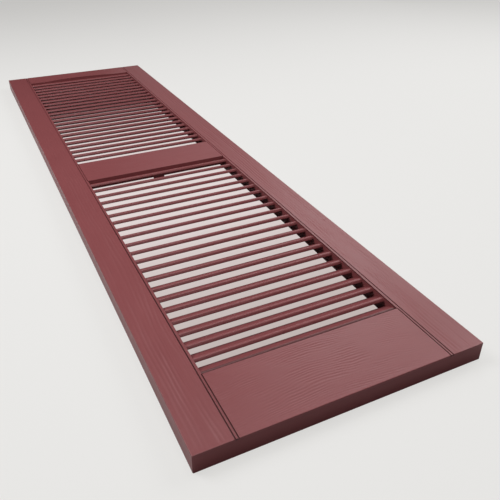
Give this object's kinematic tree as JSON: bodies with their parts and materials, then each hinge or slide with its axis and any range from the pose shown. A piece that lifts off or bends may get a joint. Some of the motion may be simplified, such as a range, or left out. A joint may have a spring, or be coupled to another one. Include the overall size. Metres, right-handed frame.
{
  "type": "louvred shutter",
  "caption": "Flat exterior window shutter moulded in one piece, with two open-louvre panels between rails and an arched top rail.",
  "frame": {"origin": "middle of the frame's plan, on the plane of the back rim", "axes": "+X across the width, +Y from the bottom end to the arched top end, +Z out of the face"},
  "size_m": [0.3682, 1.397, 0.025],
  "materials": {
    "shutter": "satin burgundy polypropylene, coloured right through, with an embossed wood grain on the face"
  },
  "bodies": {
    "root": {"shutter": "shutter"}
  },
  "joints": []
}
